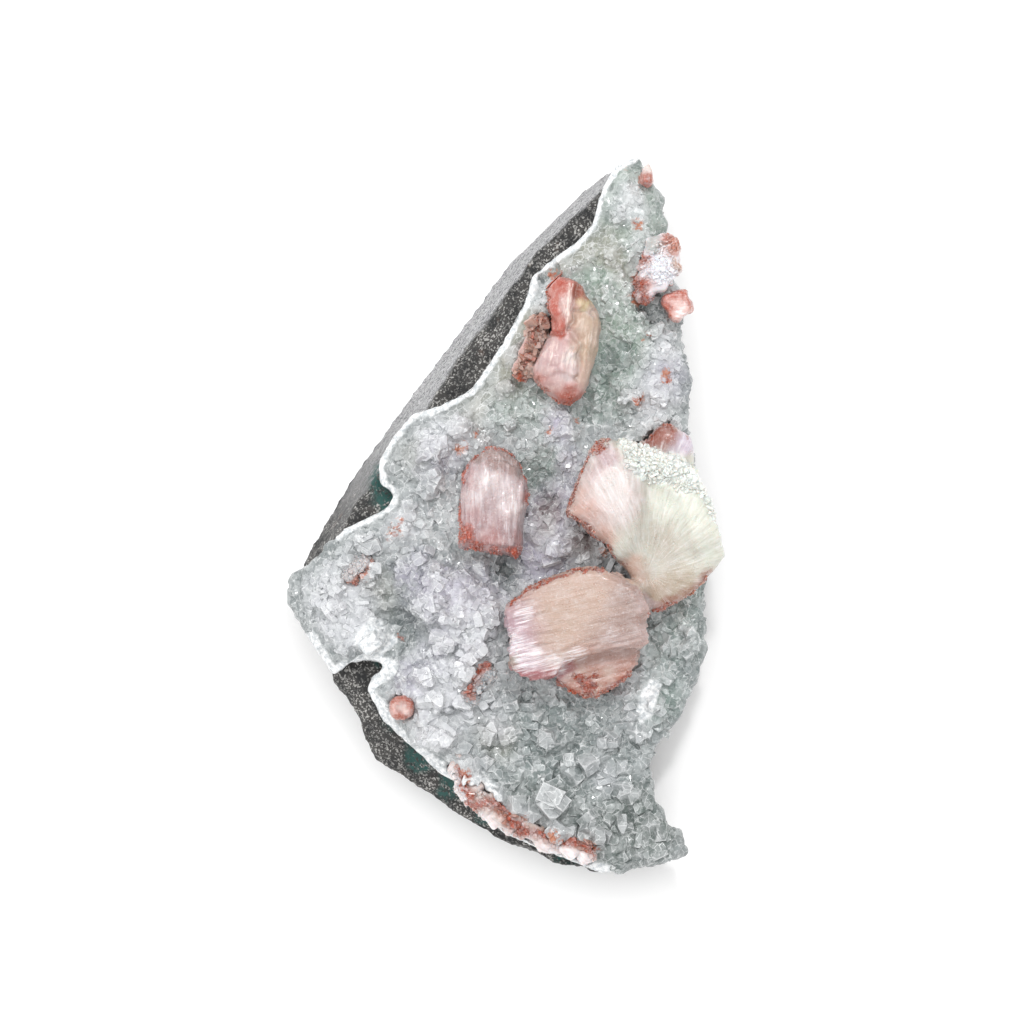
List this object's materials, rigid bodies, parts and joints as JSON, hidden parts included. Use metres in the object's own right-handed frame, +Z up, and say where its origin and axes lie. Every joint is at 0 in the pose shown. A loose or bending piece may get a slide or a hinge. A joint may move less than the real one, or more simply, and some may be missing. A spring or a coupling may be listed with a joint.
{
  "type": "apophyllite specimen",
  "caption": "Loose mineral specimen: a wedge of basalt with a pale apophyllite crust and pink, cream and red-rimmed stilbite and heulandite crystals.",
  "frame": {"origin": "on the flat back that the specimen rests on, a little below the middle of its outline", "axes": "+Z up, out of the crystal side; +Y towards the narrow tip; +X to the right when the crystals face the viewer and the tip is up"},
  "size_m": [0.0664, 0.1085, 0.0346],
  "materials": {
    "basalt": "rough broken rock",
    "apophyllite": "glassy small crystals",
    "pale_stilbite": "pearly translucent crystal",
    "pink_stilbite": "pearly translucent crystal",
    "white_stilbite": "silky fibrous crystal",
    "red_heulandite": "pearly translucent crystal",
    "rim_heulandite": "satin small crystals"
  },
  "bodies": {
    "root": {"basalt_matrix": "basalt", "apophyllite_crust": "apophyllite", "stilbite_pair": "pale_stilbite", "barrel_stilbite": "pink_stilbite", "upper_stilbite": "pink_stilbite", "edge_stilbite": "white_stilbite", "edge_heulandite": "red_heulandite", "tip_heulandite": "red_heulandite", "button_heulandite": "red_heulandite", "lobe_heulandite": "red_heulandite", "basin_heulandite": "red_heulandite", "rim_heulandite": "rim_heulandite"}
  },
  "joints": []
}
